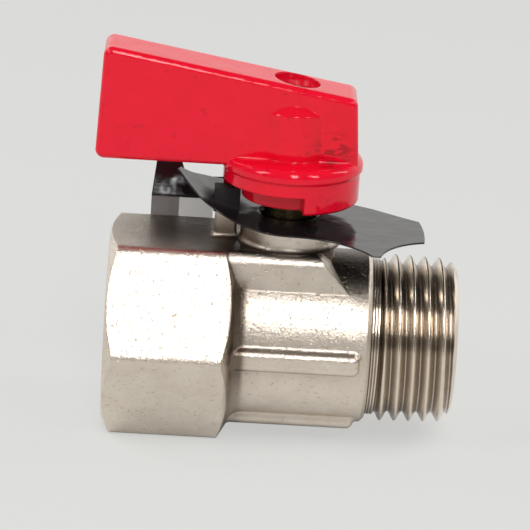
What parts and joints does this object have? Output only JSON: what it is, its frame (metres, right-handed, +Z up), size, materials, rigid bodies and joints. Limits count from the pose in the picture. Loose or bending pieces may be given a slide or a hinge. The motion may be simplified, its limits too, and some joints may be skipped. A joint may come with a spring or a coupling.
{
  "type": "ball valve",
  "caption": "Half-inch nickel-plated brass isolating ball valve, female hexagon to male thread, with a short red lever.",
  "frame": {"origin": "the middle of the ball, where the pipe axis and the stem axis cross", "axes": "+X along the pipe towards the male thread, +Z up the stem towards the lever, +Y towards the back, across both"},
  "size_m": [0.0457, 0.0314, 0.0487],
  "materials": {
    "nickel_plated_brass": "nickel plated, fine matte grain on forged faces, bright on turned ones",
    "plain_brass": "turned",
    "chromed_ball": "chromed and polished",
    "seat_white": "smooth, waxy",
    "seal_rubber": "satin",
    "red_paint": "glossy powder coat over die casting",
    "zinc_steel": "zinc plated",
    "dark_sheet": "glossy, thin, bent"
  },
  "bodies": {
    "valve": {"valve_body": "nickel_plated_brass", "male_end": "nickel_plated_brass", "end_seal": "seal_rubber", "seat_ring_female": "seat_white", "seat_ring_male": "seat_white", "thrust_washer": "seat_white", "tag": "dark_sheet"},
    "lever_set": {"lever": "red_paint", "lever_screw": "zinc_steel", "stem": "plain_brass", "ball": "chromed_ball", "stem_seal_lower": "seal_rubber", "stem_seal_upper": "seal_rubber"}
  },
  "joints": [
    {"name": "lever_turn", "type": "hinge", "parent": "valve", "child": "lever_set", "pos_m": [0, 0, 0], "axis": [0, 0, 1], "range_deg": [-90, 0]}
  ]
}
